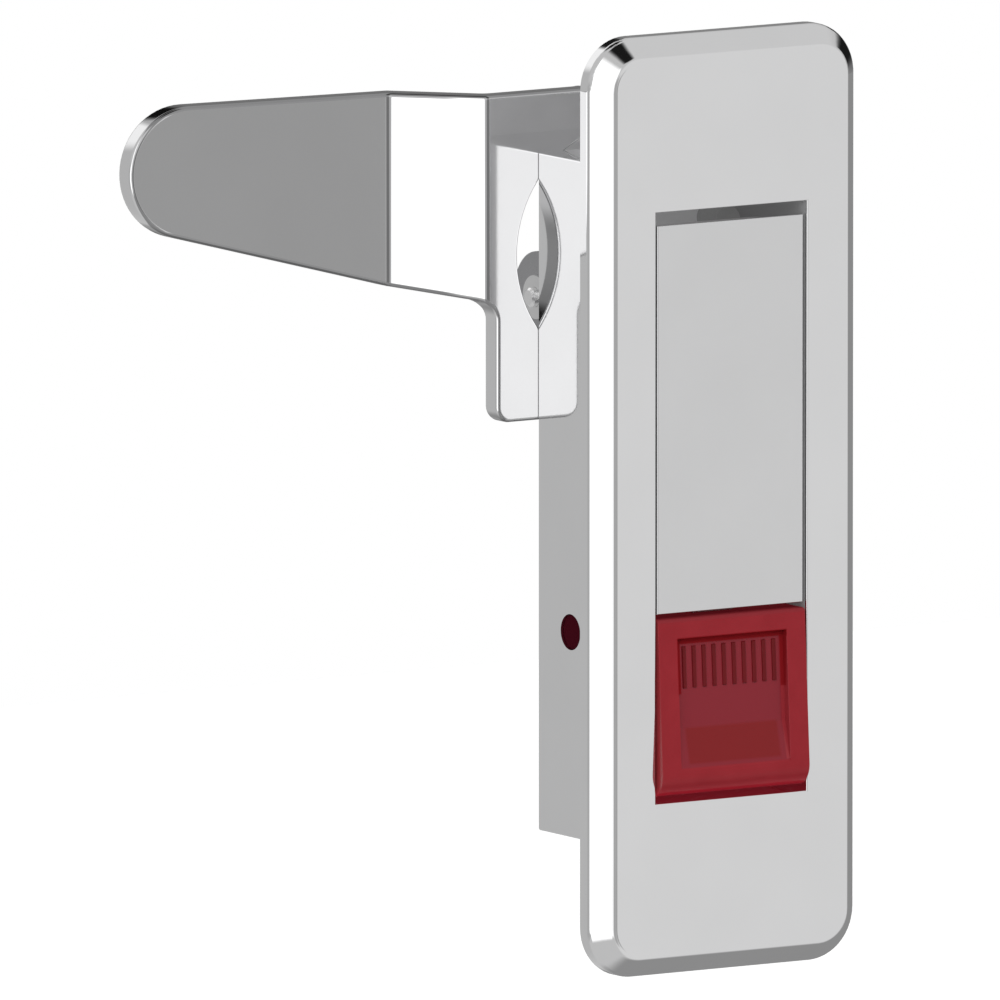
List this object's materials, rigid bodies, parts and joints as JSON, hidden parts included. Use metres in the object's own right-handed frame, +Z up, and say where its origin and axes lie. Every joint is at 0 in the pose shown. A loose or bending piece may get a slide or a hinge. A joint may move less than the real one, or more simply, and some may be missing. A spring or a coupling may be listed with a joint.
{
  "type": "panel lock",
  "caption": "Flush panel lock: bevelled face housing with a spring-lifted flap handle, a push button that frees it, and a bent sheet tongue that the flap turns down.",
  "frame": {"origin": "centre of the two fixing studs on the seat plane, the rear face of the face plate where it lies on the panel", "axes": "+X right seen from the front, +Y into the cabinet along the studs, +Z up along the face plate's length"},
  "size_m": [0.0899, 0.0383, 0.12],
  "materials": {
    "chromed_zinc": "polished chrome on zinc die-casting",
    "chromed_steel": "polished chrome on sheet steel",
    "red_plastic": "glossy translucent red moulding",
    "plain_steel": "zinc-plated steel, satin",
    "spring_steel": "drawn spring wire and strip",
    "bronze": "sintered bronze",
    "grey_rubber": "moulded rubber",
    "nylon": "natural nylon"
  },
  "bodies": {
    "housing": {"face_housing": "chromed_zinc", "mounting_studs": "plain_steel", "flap_hinge_pin": "plain_steel", "rotor_bush": "bronze", "flap_stop_buffers": "grey_rubber", "button_return_spring": "spring_steel", "flap_torsion_spring": "spring_steel"},
    "flap": {"flap_handle": "chromed_zinc", "drive_ball_pin": "plain_steel", "flap_striker": "plain_steel", "striker_screw": "plain_steel"},
    "button": {"push_button": "red_plastic", "catch_spring": "spring_steel", "catch_spring_rivet": "plain_steel"},
    "tongue": {"rotor": "plain_steel", "friction_washer": "nylon", "shaft_spacer": "plain_steel", "tongue": "chromed_steel", "tongue_yoke": "plain_steel", "yoke_cross_pin": "plain_steel", "cross_pin_clips": "plain_steel", "yoke_rivets": "plain_steel"}
  },
  "joints": [
    {"name": "flap_hinge", "type": "hinge", "parent": "housing", "child": "flap", "pos_m": [0, 0.0017, 0.024], "axis": [-1, 0, 0], "range_deg": [0, 60], "deforming": ["flap_torsion_spring"]},
    {"name": "tongue_turn", "type": "hinge", "parent": "housing", "child": "tongue", "pos_m": [0, 0.01705, 0.024], "axis": [0, -1, 0], "range_deg": [0, 90]},
    {"name": "button_rock", "type": "hinge", "parent": "housing", "child": "button", "pos_m": [0, 0.0096, -0.0171], "axis": [1, 0, 0], "range_deg": [0, 3.2], "stiffness_Nm_per_rad": 0.12, "springref_deg": -20.05, "deforming": ["button_return_spring", "catch_spring"]}
  ],
  "couplings": [
    {"joint": "tongue_turn", "follows": "flap_hinge", "ratio": 1.5}
  ]
}
